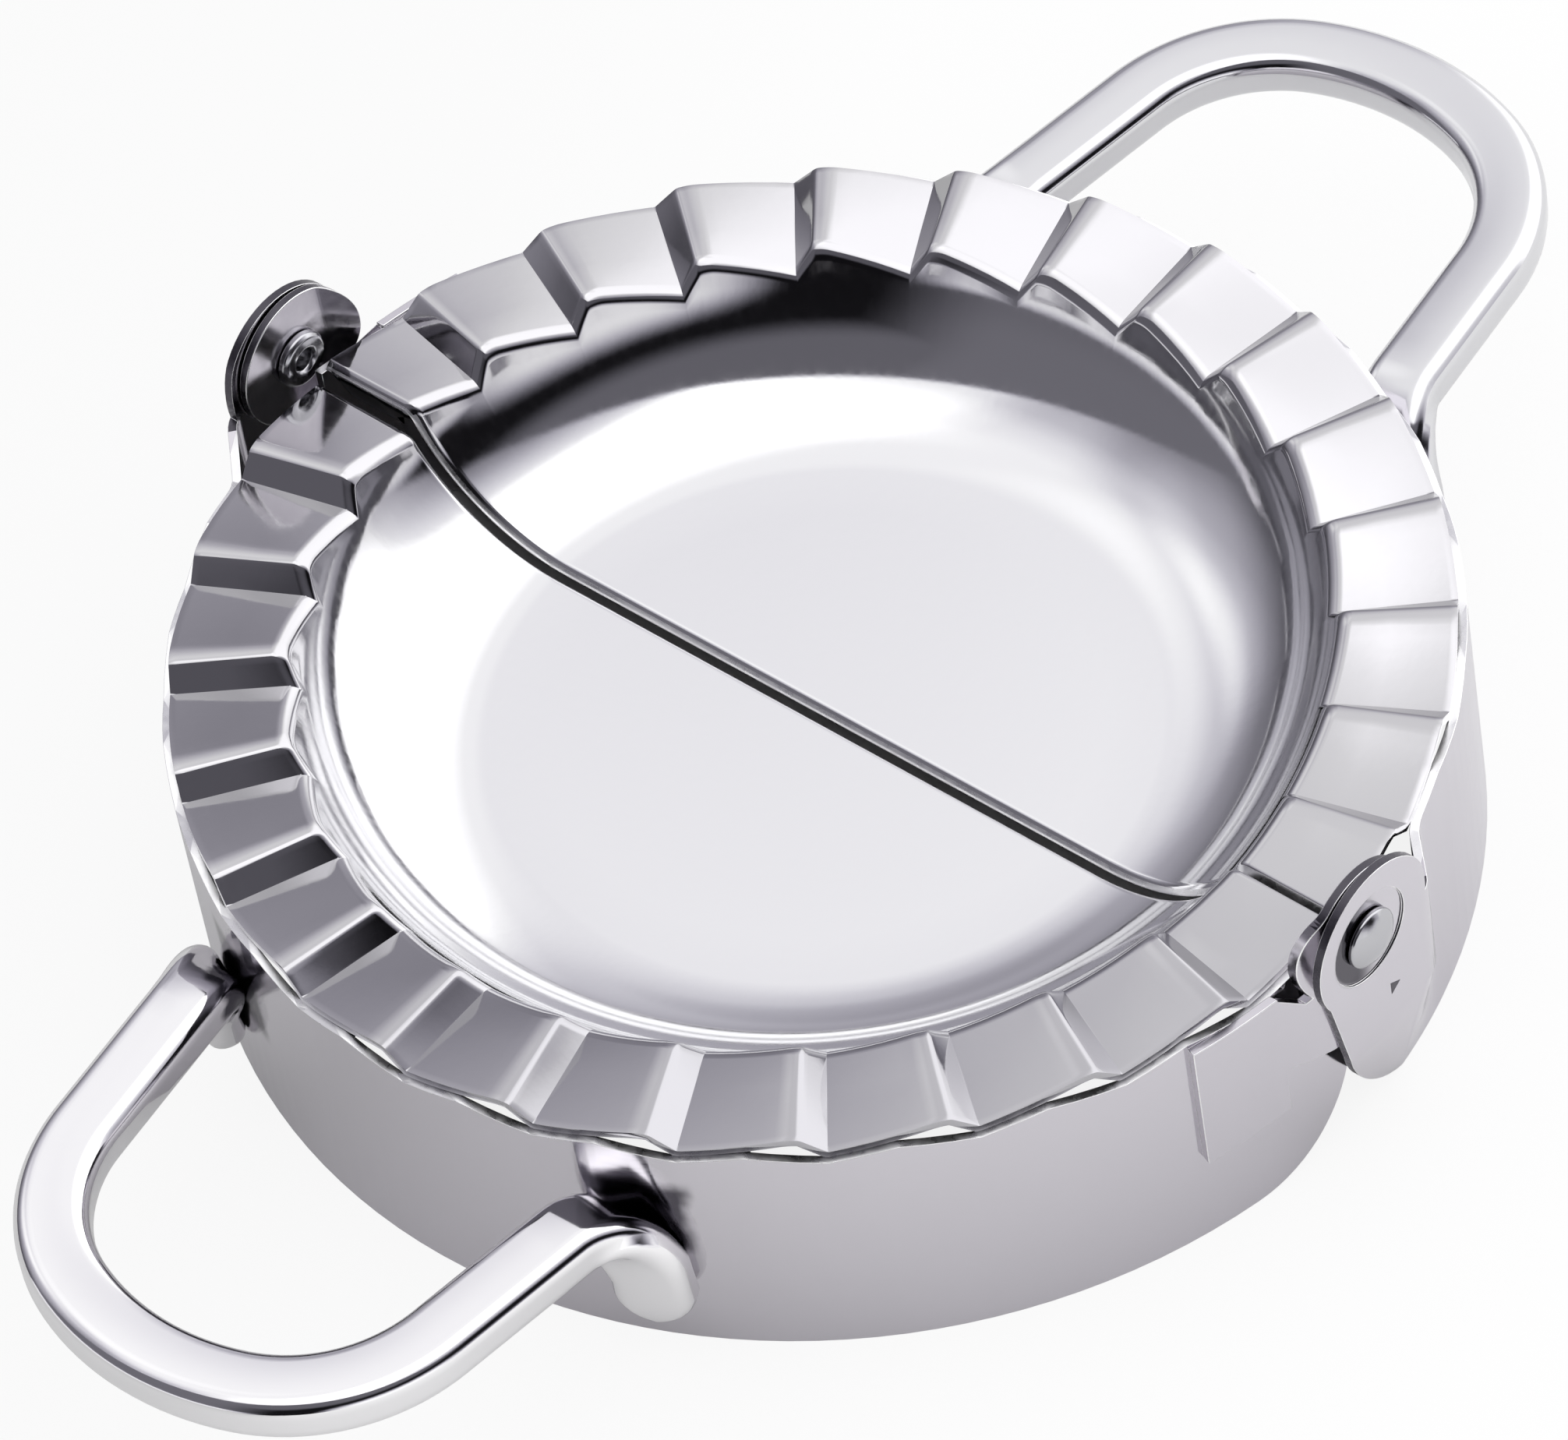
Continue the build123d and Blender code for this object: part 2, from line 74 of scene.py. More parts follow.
# ---- Studio --------------------------------------------------------------------------
# A pale table under a wide light panel that reaches from behind the press to over it.
# The side towards the camera is a dark room, which gives the bright steel its contrast.
def math_node(tree, operation, first, second):
    """One sum on numbers or on what other nodes give out."""
    node = tree.nodes.new("ShaderNodeMath")
    node.operation = operation
    for socket, value in zip(node.inputs, (first, second)):
        if isinstance(value, (int, float)):
            socket.default_value = value
        else:
            tree.links.new(value, socket)
    return node.outputs[0]


def dot_node(tree, vector, direction):
    """How far a place or a line of sight reaches in a direction."""
    node = tree.nodes.new("ShaderNodeVectorMath")
    node.operation = "DOT_PRODUCT"
    tree.links.new(vector, node.inputs[0])
    node.inputs[1].default_value = direction
    return node.outputs["Value"]


def slope_node(tree, value, low, high, at_low=0.0, at_high=1.0):
    """A smooth change from one level to another as a value rises from low to high."""
    mapped = tree.nodes.new("ShaderNodeMapRange")
    mapped.interpolation_type = "SMOOTHSTEP"
    for socket, number in zip(mapped.inputs[1:5], (low, high, at_low, at_high)):
        socket.default_value = number
    tree.links.new(value, mapped.inputs["Value"])
    return mapped.outputs[0]


def ramp_node(tree, value, low, high, stops):
    """Grey levels over a range of values, in stops of (value, level)."""
    mapped = tree.nodes.new("ShaderNodeMapRange")
    mapped.inputs["From Min"].default_value = low
    mapped.inputs["From Max"].default_value = high
    tree.links.new(value, mapped.inputs["Value"])
    ramp = tree.nodes.new("ShaderNodeValToRGB")
    elements = ramp.color_ramp.elements
    while len(elements) < len(stops):
        elements.new(0.5)
    for element, (place, level) in zip(elements, stops):
        element.position = (place - low) / (high - low)
        element.color = (level, level, level, 1.0)
    tree.links.new(mapped.outputs[0], ramp.inputs[0])
    return ramp.outputs[0]


def mix_node(tree, share, first, second, blend="MIX"):
    """A colour that goes from a first to a second as a share rises from 0 to 1."""
    node = tree.nodes.new("ShaderNodeMix")
    node.data_type = "RGBA"
    node.blend_type = blend
    if isinstance(share, float):
        node.inputs["Factor"].default_value = share
    else:
        tree.links.new(share, node.inputs["Factor"])
    for socket, colour in ((node.inputs[6], first), (node.inputs[7], second)):
        if isinstance(colour, tuple):
            socket.default_value = (*colour, 1.0)
        else:
            tree.links.new(colour, socket)
    return node.outputs[2]


studio_strength = 2.0
panel_strength = 1.6
world = bpy.data.worlds.new("studio")
scene.world = world
world.use_nodes = True
tree = world.node_tree
tree.nodes.clear()
where = tree.nodes.new("ShaderNodeTexCoord").outputs["Generated"]

# the light panel: its two edges, its fall-off to both sides and its foot behind the table
near_edge = slope_node(tree, dot_node(tree, where, (-0.45, 1.0, 0.48)), -0.03, 0.03)
side_edge = slope_node(tree, dot_node(tree, where, (-0.85, 1.0, 0.70)), -0.04, 0.08)
panel_area = math_node(tree, "MULTIPLY", near_edge, side_edge)
across_panel = dot_node(tree, where, (1.0, 0.0, 0.25))
panel_level = ramp_node(tree, across_panel, -1.0, 1.0, [
    (-0.90, 0.12), (-0.75, 0.20), (-0.62, 0.23), (-0.50, 0.30), (-0.40, 0.37),
    (-0.30, 0.49), (-0.25, 0.535), (0.10, 0.555), (0.62, 0.56), (0.69, 0.40),
    (0.72, 0.30), (0.80, 0.20), (0.87, 0.11), (0.95, 0.03)])
# its middle is brighter, its near part duller, and cloth and mirrors hang before it
panel_middle = ramp_node(tree, dot_node(tree, where, (1.0, 0.0, -0.26)), -1.0, 1.0, [
    (-0.57, 0.625), (-0.50, 0.75), (-0.46, 0.90), (-0.40, 1.0)])
panel_level = math_node(tree, "MULTIPLY", panel_level, math_node(
    tree, "MULTIPLY", panel_middle, panel_strength))
near_part = ramp_node(tree, dot_node(tree, where, (0.0, 1.0, 0.48)), -1.0, 1.0, [
    (-0.25, 0.50), (0.0, 0.60), (0.20, 0.85), (0.40, 1.0)])
panel_level = math_node(tree, "MULTIPLY", panel_level, near_part)
for middle, spread, strength in (
    ((-0.11, 0.41, 0.90), 0.983, 0.86),
    ((-0.66, 0.63, 0.41), 0.983, 0.82),
    ((-0.72, 0.20, 0.66), 0.929, 1.55),
    ((-0.86, -0.17, 0.49), 0.900, 1.90),
    ((-0.20, 0.08, 0.975), 0.975, 1.10),
):
    cloth = slope_node(tree, dot_node(tree, where, middle), spread, 1.0, 1.0, strength)
    panel_level = math_node(tree, "MULTIPLY", panel_level, cloth)
upright = dot_node(tree, where, (0.0, 0.0, 1.0))
panel_foot = slope_node(tree, upright, 0.0, 0.25, 0.80, 1.0)
panel_light = math_node(tree, "MULTIPLY", panel_level, panel_foot)
# the dark room: a little lighter to the left and high up, and low down a pale line where
# the table ends, broken only at the front on the right
room_left = slope_node(tree, dot_node(tree, where, (1.0, 0.0, 0.0)), -0.1, 0.4, 0.085, 0.0)
room_high = slope_node(tree, upright, 0.50, 0.70, 0.004, 0.07)
room_light = math_node(tree, "MAXIMUM", room_left, room_high)
front_right = dot_node(tree, where, (0.66, -0.75, 0.0))
table_end = math_node(
    tree, "MULTIPLY", slope_node(tree, upright, 0.05, 0.19, 0.50, 0.0),
    slope_node(tree, front_right, 0.75, 0.93, 1.0, 0.0))
room_light = math_node(tree, "MAXIMUM", room_light, table_end)
right_glow = math_node(
    tree, "MULTIPLY", slope_node(tree, upright, 0.10, 0.46, 0.60, 0.0),
    slope_node(tree, dot_node(tree, where, (0.95, -0.30, 0.0)), 0.80, 0.97))
room_light = math_node(tree, "MAXIMUM", room_light, right_glow)
surroundings = mix_node(tree, panel_area, room_light, panel_light)
# the darker it is, the more lilac
tone = tree.nodes.new("ShaderNodeValToRGB")
tone.color_ramp.elements.new(0.2)
for element, place, tint in zip(
    tone.color_ramp.elements, (0.0, 0.25, 0.55),
    ((1.0, 0.965, 1.14, 1.0), (1.0, 0.975, 1.09, 1.0), (1.0, 0.995, 1.01, 1.0)),
):
    element.position = place
    element.color = tint
tree.links.new(surroundings, tone.inputs[0])
tinted = mix_node(tree, 1.0, surroundings, tone.outputs[0], "MULTIPLY")
reflected = tree.nodes.new("ShaderNodeBackground")
tree.links.new(tinted, reflected.inputs["Color"])
reflected.inputs["Strength"].default_value = studio_strength
backdrop = tree.nodes.new("ShaderNodeBackground")
backdrop.inputs["Color"].default_value = (1.0, 1.0, 1.0, 1.0)
backdrop.inputs["Strength"].default_value = 1.0
seen = tree.nodes.new("ShaderNodeLightPath")
plain_ray = math_node(
    tree, "MAXIMUM", seen.outputs["Is Camera Ray"], seen.outputs["Is Diffuse Ray"])
choose = tree.nodes.new("ShaderNodeMixShader")
tree.links.new(plain_ray, choose.inputs[0])
tree.links.new(reflected.outputs[0], choose.inputs[1])
tree.links.new(backdrop.outputs[0], choose.inputs[2])
world_out = tree.nodes.new("ShaderNodeOutputWorld")
tree.links.new(choose.outputs[0], world_out.inputs["Surface"])

# the table top: white paper with a glow of its own, on which the shadow stays faint. Its colour
# is painted shade, darker to the left.
table_reach = 3.0
paper_glow = 0.88
table_mesh = bpy.data.meshes.new("table_top")
bm = bmesh.new()
bmesh.ops.create_grid(bm, x_segments=1, y_segments=1, size=table_reach)
bm.to_mesh(table_mesh)
bm.free()
table_top = bpy.data.objects.new("table_top", table_mesh)
scene.collection.objects.link(table_top)
paper = bpy.data.materials.new("white_paper")
paper.use_nodes = True
tree = paper.node_tree
tree.nodes.clear()
diffuse = tree.nodes.new("ShaderNodeBsdfDiffuse")
place = tree.nodes.new("ShaderNodeTexCoord").outputs["Object"]
paper_painted_shade = ramp_node(tree, dot_node(tree, place, (0.9, 0.42, 0.0)), -0.15, 0.15, [
    (-0.10, 0.62), (-0.045, 0.70), (-0.015, 0.86), (0.02, 0.92), (0.10, 0.98)])
tree.links.new(paper_painted_shade, diffuse.inputs["Color"])
glow = tree.nodes.new("ShaderNodeEmission")
glow.inputs["Color"].default_value = (1.0, 1.0, 1.0, 1.0)
glow.inputs["Strength"].default_value = 1.0
seen = tree.nodes.new("ShaderNodeLightPath")
share = math_node(tree, "MULTIPLY", seen.outputs["Is Camera Ray"], paper_glow)
both = tree.nodes.new("ShaderNodeMixShader")
tree.links.new(share, both.inputs[0])
tree.links.new(diffuse.outputs[0], both.inputs[1])
tree.links.new(glow.outputs[0], both.inputs[2])
paper_out = tree.nodes.new("ShaderNodeOutputMaterial")
tree.links.new(both.outputs[0], paper_out.inputs["Surface"])
table_mesh.materials.append(paper)

# ---- Pressed pans --------------------------------------------------------------------
# Each half is one sheet of bright stainless steel, drawn in a die to half a round bowl.
# The rim is stamped into saw teeth whose crests are rounded and whose feet are sharp.
rim_radius = 47.6
split_trim = 1.1
tooth_count = 14
tooth_pitch = 180.0 / tooth_count
riser_angle = 3.0
swing_inner = 0.88
swing_outer = 0.72
swing_inner_radius = 38.6
pan_sheet = 0.6
bowl_floor = 12.3
bowl_floor_radius = 25.6
bowl_corner_radius = 14.0
mouth_fold_radius = 1.5
# the split edges are turned down: distance from the split, and drop, from the edge inwards
far_lip = [(0.710, 2.30), (0.736, 0.683), (0.746, 0.616), (0.771, 0.553), (0.890, 0.401),
           (1.055, 0.230), (1.145, 0.150), (1.235, 0.073), (1.300, 0.034), (1.370, 0.009),
           (1.450, 0.0), (1.56, 0.0), (1.80, 0.0)]
near_lip = [(0.060, 0.700), (0.077, 0.530), (0.127, 0.350), (0.206, 0.205), (0.310, 0.094),
            (0.430, 0.024), (0.560, 0.0), (0.66, 0.0), (0.86, 0.0)]
over_wall = 45.5             # beyond this |x| the turned edge lies over the walls,
rim_lip_drop = 0.80          # and is no deeper than this
painted_highlight_slope = (0.7, 0.95)     # sideways slope between which the turned edge has a painted highlight
cut_edge_round = 0.20

# angles from a tooth's foot at which the sheet has a line of vertices
tooth_steps = [0.0, 0.10, 0.6, 1.1, 1.6, 1.95, 2.1, 2.25, 2.4, 2.6, 2.9, 3.3, 3.8, 4.3, 5.5,
               7.0, 9.0, 11.0, 12.3, 12.75]
first_angles = (-4.0, -2.0, 0.0, 1.5, 4.0, 7.0, 9.5)
last_steps = (0.0, 2.0, 5.0)
# a tooth's rise: steep to here, then turning over a corner to here, then a soft brow
steep_end, corner_end, brow_end = 1.95, 2.45, 4.2
steep_rise, brow_rise = 0.9, 0.1
floor_rows = 6
dish_rows = 18
dish_angle = radians(52)
mouth_rows = 5
fold_rows = 9
tread_shares = (0.0, 0.35, 0.68, 0.93, 1.0)
tread_rows = len(tread_shares) - 1


def tooth_wave(angle):
    """Height of the teeth, from -1 to 1, at an angle counted from a half's first end."""
    tooth = min(max(0, int((angle + riser_angle / 2) // tooth_pitch)), tooth_count)
    past_foot = angle + riser_angle / 2 - tooth * tooth_pitch
    corner_height = (
        -1.0 + steep_rise * steep_end
        + (steep_rise + brow_rise) / 2 * (corner_end - steep_end)
    )
    fall = (corner_height + (brow_end - corner_end) * brow_rise / 2 + 1.0) / (
        tooth_pitch - brow_end + (brow_end - corner_end) / 2
    )
    if tooth in (0, tooth_count):
        first_end = tooth_pitch - past_foot
        return -1.0 + fall * first_end if tooth == 0 else -1.0 - fall * past_foot
    if past_foot <= steep_end:
        return -1.0 + steep_rise * past_foot
    if past_foot <= corner_end:
        along = past_foot - steep_end
        easing = (steep_rise - brow_rise) / (corner_end - steep_end)
        return -1.0 + steep_rise * steep_end + steep_rise * along - easing * along**2 / 2
    if past_foot <= brow_end:
        along = past_foot - corner_end
        easing = (brow_rise + fall) / (brow_end - corner_end)
        return corner_height + brow_rise * along - easing * along**2 / 2
    return -1.0 + fall * (tooth_pitch - past_foot)


def pan_point(row, angle):
    """Radius and height of the sheet's top side at one row and angle."""
    wave = tooth_wave(angle)
    inner = teeth_height + swing_inner * wave
    mouth_angle = acos(
        (bowl_floor + bowl_corner_radius - inner + mouth_fold_radius)
        / (bowl_corner_radius + mouth_fold_radius)
    )
    if row <= floor_rows:
        return bowl_floor_radius * row / floor_rows, bowl_floor
    row -= floor_rows
    if row <= dish_rows + mouth_rows:
        if row <= dish_rows:
            a = dish_angle * row / dish_rows
        else:
            a = dish_angle + (mouth_angle - dish_angle) * (row - dish_rows) / mouth_rows
        return (
            bowl_floor_radius + bowl_corner_radius * sin(a),
            bowl_floor + bowl_corner_radius * (1 - cos(a)),
        )
    row -= dish_rows + mouth_rows
    fold_reach = (bowl_corner_radius + mouth_fold_radius) * sin(mouth_angle)
    fold_centre = bowl_floor_radius + fold_reach
    if row <= fold_rows:
        a = mouth_angle * (1 - row / fold_rows)
        return (
            fold_centre - mouth_fold_radius * sin(a),
            inner - mouth_fold_radius * (1 - cos(a)),
        )
    share = tread_shares[row - fold_rows]
    radius = fold_centre + (rim_radius - fold_centre) * share
    spread = (radius - swing_inner_radius) / (rim_radius - swing_inner_radius)
    swing = swing_inner + (swing_outer - swing_inner) * spread
    return radius, teeth_height + swing * wave


def column_angles():
    """Angle of each line of vertices round one half, with lines on every foot and crest."""
    angles = list(first_angles)
    for tooth in range(1, tooth_count):
        foot = tooth * tooth_pitch - riser_angle / 2
        angles += [foot + step for step in tooth_steps]
    foot = 180.0 - riser_angle / 2
    return angles + [foot + step for step in last_steps]


def piece(name, bm, body, slot, *nodes):
    """A finished mesh as an object that rides on a body in place of its solids."""
    mesh = bpy.data.meshes.new(name)
    bm.to_mesh(mesh)
    bm.free()
    made = bpy.data.objects.new(name, mesh)
    scene.collection.objects.link(made)
    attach(made, body)
    if nodes:
        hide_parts(*nodes)
    return made


def shade(made, sharp_angle):
    """Smooth shading, except over edges sharper than an angle in degrees."""
    made.data.shade_smooth()
    made.data.set_sharp_from_angle(angle=radians(sharp_angle))


def steel(name, tint, roughness, grain_scale, grain_depth):
    """Stainless steel with an uneven polish and faint lines left by rolling or drawing."""
    made = bpy.data.materials.new(name)
    made.use_nodes = True
    tree = made.node_tree
    shader = tree.nodes["Principled BSDF"]
    shader.inputs["Metallic"].default_value = 1.0
    place = tree.nodes.new("ShaderNodeTexCoord").outputs["Object"]
    cloud = tree.nodes.new("ShaderNodeTexNoise")
    cloud.inputs["Scale"].default_value = 90.0
    cloud.inputs["Detail"].default_value = 3.0
    tree.links.new(place, cloud.inputs["Vector"])
    cloudy = tuple(0.97 * channel for channel in tint)
    tree.links.new(mix_node(tree, cloud.outputs["Fac"], cloudy, tint),
                   shader.inputs["Base Color"])
    stretch = tree.nodes.new("ShaderNodeMapping")
    stretch.inputs["Scale"].default_value = grain_scale
    tree.links.new(place, stretch.inputs["Vector"])
    grain = tree.nodes.new("ShaderNodeTexNoise")
    grain.inputs["Scale"].default_value = 1.0
    grain.inputs["Detail"].default_value = 4.0
    tree.links.new(stretch.outputs[0], grain.inputs["Vector"])
    polish = tree.nodes.new("ShaderNodeMapRange")
    polish.inputs["From Min"].default_value = 0.3
    polish.inputs["From Max"].default_value = 0.7
    polish.inputs["To Min"].default_value = roughness * 0.7
    polish.inputs["To Max"].default_value = roughness * 1.3
    tree.links.new(grain.outputs["Fac"], polish.inputs["Value"])
    tree.links.new(polish.outputs[0], shader.inputs["Roughness"])
    bump = tree.nodes.new("ShaderNodeBump")
    bump.inputs["Strength"].default_value = grain_depth
    bump.inputs["Distance"].default_value = 0.00001
    tree.links.new(grain.outputs["Fac"], bump.inputs["Height"])
    tree.links.new(bump.outputs[0], shader.inputs["Normal"])
    return made


def distance_node(tree, place, directions, shift=(0.0, 0.0, 0.0)):
    """Distance from the origin, after a shift, counted only along the directions given."""
    offset = tree.nodes.new("ShaderNodeVectorMath")
    offset.operation = "MULTIPLY_ADD"
    offset.inputs[1].default_value = directions
    offset.inputs[2].default_value = shift
    tree.links.new(place, offset.inputs[0])
    distance = tree.nodes.new("ShaderNodeVectorMath")
    distance.operation = "LENGTH"
    tree.links.new(offset.outputs[0], distance.inputs[0])
    return distance.outputs["Value"]


pan_steel = steel("pressed_sheet", tint=(0.555, 0.55, 0.565), roughness=0.08,
                  grain_scale=(1500.0, 1500.0, 300.0), grain_depth=0.20)
# painted light and shade: the dish is painted brighter than the teeth, and the teeth on the +x,
# -y side are painted darker (the patterns' own sizes are in metres)
near_teeth_painted_shade_tint = (0.46, 0.455, 0.475)
near_teeth_painted_shade_edge = (0.022, 0.036)
dish_painted_light_tint = (0.80, 0.80, 0.81)
dish_painted_light_edge = (0.0350, 0.0385)
tree = pan_steel.node_tree
base_colour = tree.nodes["Principled BSDF"].inputs["Base Color"]
place = tree.nodes.new("ShaderNodeTexCoord").outputs["Object"]
from_middle = distance_node(tree, place, (1.0, 1.0, 0.0))
dish_painted_light = slope_node(tree, from_middle, *dish_painted_light_edge, 1.0, 0.0)
near_teeth_painted_shade = slope_node(tree, dot_node(tree, place, (0.6, -0.8, 0.0)), *near_teeth_painted_shade_edge)
teeth_tint = mix_node(tree, near_teeth_painted_shade, base_colour.links[0].from_socket, near_teeth_painted_shade_tint)
tree.links.new(mix_node(tree, dish_painted_light, teeth_tint, dish_painted_light_tint), base_colour)

# painted highlight: a bright steel for cut and turned edges, flat top edges and rounded corners
painted_edge_highlight = steel("painted_edge_highlight", tint=(0.93, 0.93, 0.93), roughness=0.30,
                    grain_scale=(900.0, 900.0, 900.0), grain_depth=0.2)


def make_pan(name, body, node, lip, half_turn):
    """One half's sheet: a spun line of vertices, shaped, cut at the split and turned down."""
    bm = bmesh.new()
    row_of = bm.verts.layers.int.new("row")
    rows = floor_rows + dish_rows + mouth_rows + fold_rows + tread_rows
    line = []
    for row in range(rows + 1):
        vert = bm.verts.new((-(row + 1) * MM, 0.0, 0.0))
        vert[row_of] = row
        line.append(vert)
    edges = [bm.edges.new(pair) for pair in zip(line, line[1:])]
    angles = column_angles()
    columns = len(angles) - 1
    bmesh.ops.spin(bm, geom=line + edges, cent=(0, 0, 0), axis=(0, 0, -1), angle=pi,
                   steps=columns, use_merge=False, use_duplicate=False)
    for vert in bm.verts:
        column = round(atan2(vert.co.y, -vert.co.x) / pi * columns)
        if column < 0:
            column = columns
        angle = angles[column]
        radius, high = pan_point(vert[row_of], angle)
        a = radians(angle)
        vert.co = Vector((-radius * cos(a), radius * sin(a) - split_trim, high)) * MM
    bmesh.ops.remove_doubles(bm, verts=bm.verts, dist=1e-6)
    # the split edge is turned down: the sheet is cut along its lines, which are then lowered
    for number, (line_at, _) in enumerate(lip):
        bmesh.ops.bisect_plane(bm, geom=bm.verts[:] + bm.edges[:] + bm.faces[:],
                               plane_co=(0.0, line_at * MM, 0.0), plane_no=(0, 1, 0),
                               clear_inner=number == 0)
    bm.normal_update()
    for vert in bm.verts:
        beside = max(vert.co.y / MM, lip[0][0])
        if beside >= lip[-1][0]:
            continue
        (low, low_drop), (high, high_drop) = next(
            pair for pair in zip(lip, lip[1:]) if beside < pair[1][0])
        drop = low_drop + (high_drop - low_drop) * (beside - low) / (high - low)
        if abs(vert.co.x) > over_wall * MM:
            drop = min(drop, rim_lip_drop)
        away = Vector((vert.normal.x, 0.0, vert.normal.z)).normalized()
        if away.z < 0:
            away.negate()
        vert.co -= away * drop * MM
    if half_turn:
        bmesh.ops.rotate(bm, verts=bm.verts, cent=(0, 0, 0),
                         matrix=Matrix.Rotation(pi, 3, "Z"))
    bmesh.ops.recalc_face_normals(bm, faces=bm.faces)
    if sum(face.normal.z for face in bm.faces) < 0:
        bmesh.ops.reverse_faces(bm, faces=bm.faces)
    # the turned edge's sloping faces take the painted highlight
    for face in bm.faces:
        beside = abs(face.calc_center_median().y / MM)
        painted_highlight = painted_highlight_slope[0] < abs(face.normal.y) < painted_highlight_slope[1] and beside < lip[-1][0]
        face.material_index = 1 if painted_highlight else 0
    made = piece(name, bm, body, "pressed_sheet", node)
    shade(made, sharp_angle=24)
    sheet = made.modifiers.new("sheet", "SOLIDIFY")
    sheet.thickness = pan_sheet * MM
    sheet.offset = -1.0
    sheet.use_even_offset = True
    rounding = made.modifiers.new("cut_edges", "BEVEL")
    rounding.width = cut_edge_round * MM
    rounding.segments = 4
    rounding.limit_method = "ANGLE"
    rounding.angle_limit = radians(60)
    made.data.materials.append(pan_steel)
    made.data.materials.append(painted_edge_highlight)


make_pan("moving_pan_sheet", "moving_half", "moving_pan", far_lip, half_turn=False)
make_pan("fixed_pan_sheet", "fixed_half", "fixed_pan", near_lip, half_turn=True)

# ---- Cutter walls --------------------------------------------------------------------
# Each wall is a strip of steel rolled to half a ring under the rim. One end is flared
# and runs on as the outer hinge ear, with a shallow seat hammered round the rivet.
hinge_height = 22.2
ear_from = 49.9              # beyond this |x| the strip is the flat outer ear
wall_top_to = 49.3           # up to this |x| its top edge has a painted highlight,
wall_top_from = 18.0         # and all of that edge is higher than this
wall_edge_round = 0.12
wall_steel = steel("wall_strip", tint=(0.645, 0.625, 0.665), roughness=0.12,
                   grain_scale=(300.0, 300.0, 3000.0), grain_depth=0.2)
# painted shade: a near-black steel on sheet edges that face sideways; the ears' marks use it
# too
painted_edge_shade_and_mark = steel("painted_edge_shade_and_mark", tint=(0.10, 0.095, 0.11), roughness=0.30,
                     grain_scale=(2500.0, 2500.0, 2500.0), grain_depth=0.8)


def dressed(node, name, body, slot, finish, edge, painted_highlight=None):
    """A solid's own shape and finish; its rounded corners take any painted highlight."""
    bm = bmesh.new()
    bm.from_mesh(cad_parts[node].data)
    bmesh.ops.remove_doubles(bm, verts=bm.verts, dist=2e-6)
    bmesh.ops.dissolve_limit(bm, angle_limit=radians(0.2), verts=bm.verts, edges=bm.edges,
                             use_dissolve_boundaries=False)
    made = piece(name, bm, body, slot, node)
    shade(made, sharp_angle=30)
    rounding = made.modifiers.new("corners", "BEVEL")
    rounding.width = edge * MM
    rounding.segments = 3
    rounding.limit_method = "ANGLE"
    rounding.angle_limit = radians(40)
    made.data.materials.clear()
    made.data.materials.append(finish)
    if painted_highlight:
        made.data.materials.append(painted_highlight)
        # the rounded corners take the painted highlight
        rounding.material = 1
    return made


def sort_faces(made, number, chosen):
    """Gives another finish to the faces for which a test of middle and normal is true."""
    for face in made.data.polygons:
        if chosen(face.center / MM, face.normal):
            face.material_index = number


# painted shade: a dark patch on the wall above each handle foot, under the handle's bend
handle_painted_shade_places = (19.2, -19.0)
handle_painted_shade_half_width = (0.0030, 0.0042)
handle_painted_shade_foot = (0.0098, 0.0114)
handle_painted_shade_top = (0.0170, 0.0186)
outer_side = (0.0467, 0.0470)
handle_painted_shade_tint = (0.075, 0.07, 0.085)
tree = wall_steel.node_tree
base_colour = tree.nodes["Principled BSDF"].inputs["Base Color"]
place = tree.nodes.new("ShaderNodeTexCoord").outputs["Object"]
blur = tree.nodes.new("ShaderNodeTexNoise")
blur.inputs["Scale"].default_value = 350.0
tree.links.new(place, blur.inputs["Vector"])
uneven = math_node(tree, "MULTIPLY", blur.outputs["Fac"], 0.0012)
along_split = dot_node(tree, place, (1.0, 0.0, 0.0))
handle_painted_shade = None
for middle in handle_painted_shade_places:
    off_middle = math_node(tree, "SUBTRACT", along_split, middle * MM)
    off_middle = math_node(tree, "ABSOLUTE", off_middle, 0.0)
    beside = slope_node(
        tree, math_node(tree, "ADD", off_middle, uneven), *handle_painted_shade_half_width, 1.0, 0.0)
    handle_painted_shade = beside if handle_painted_shade is None else math_node(tree, "MAXIMUM", handle_painted_shade, beside)
height = math_node(tree, "ADD", dot_node(tree, place, (0.0, 0.0, 1.0)), uneven)
for limit in (
    slope_node(tree, height, *handle_painted_shade_top, 1.0, 0.0),
    slope_node(tree, height, *handle_painted_shade_foot),
    slope_node(tree, distance_node(tree, place, (1.0, 1.0, 0.0)), *outer_side),
):
    handle_painted_shade = math_node(tree, "MULTIPLY", handle_painted_shade, limit)
strip_tint = mix_node(tree, handle_painted_shade, base_colour.links[0].from_socket, handle_painted_shade_tint)
# painted shade: the hammered seat round each rivet is darker on the side turned from the split
seat_edge = (0.0036, 0.0041)
seat_face = (0.0504, 0.0506)
dark_side = (-0.0012, 0.0022)
seat_painted_shade_tint = (0.09, 0.085, 0.10)
off_axis = distance_node(tree, place, (0.0, 1.0, 1.0), (0.0, 0.0, -hinge_height * MM))
sided = math_node(tree, "MULTIPLY", along_split, dot_node(tree, place, (0.0, 20.0, 0.0)))
seat_painted_shade = slope_node(tree, off_axis, *seat_edge, 1.0, 0.0)
for limit in (
    slope_node(tree, math_node(tree, "ADD", sided, uneven), *dark_side, 1.0, 0.0),
    slope_node(tree, math_node(tree, "ABSOLUTE", along_split, 0.0), *seat_face),
):
    seat_painted_shade = math_node(tree, "MULTIPLY", seat_painted_shade, limit)
tree.links.new(mix_node(tree, seat_painted_shade, strip_tint, seat_painted_shade_tint), base_colour)

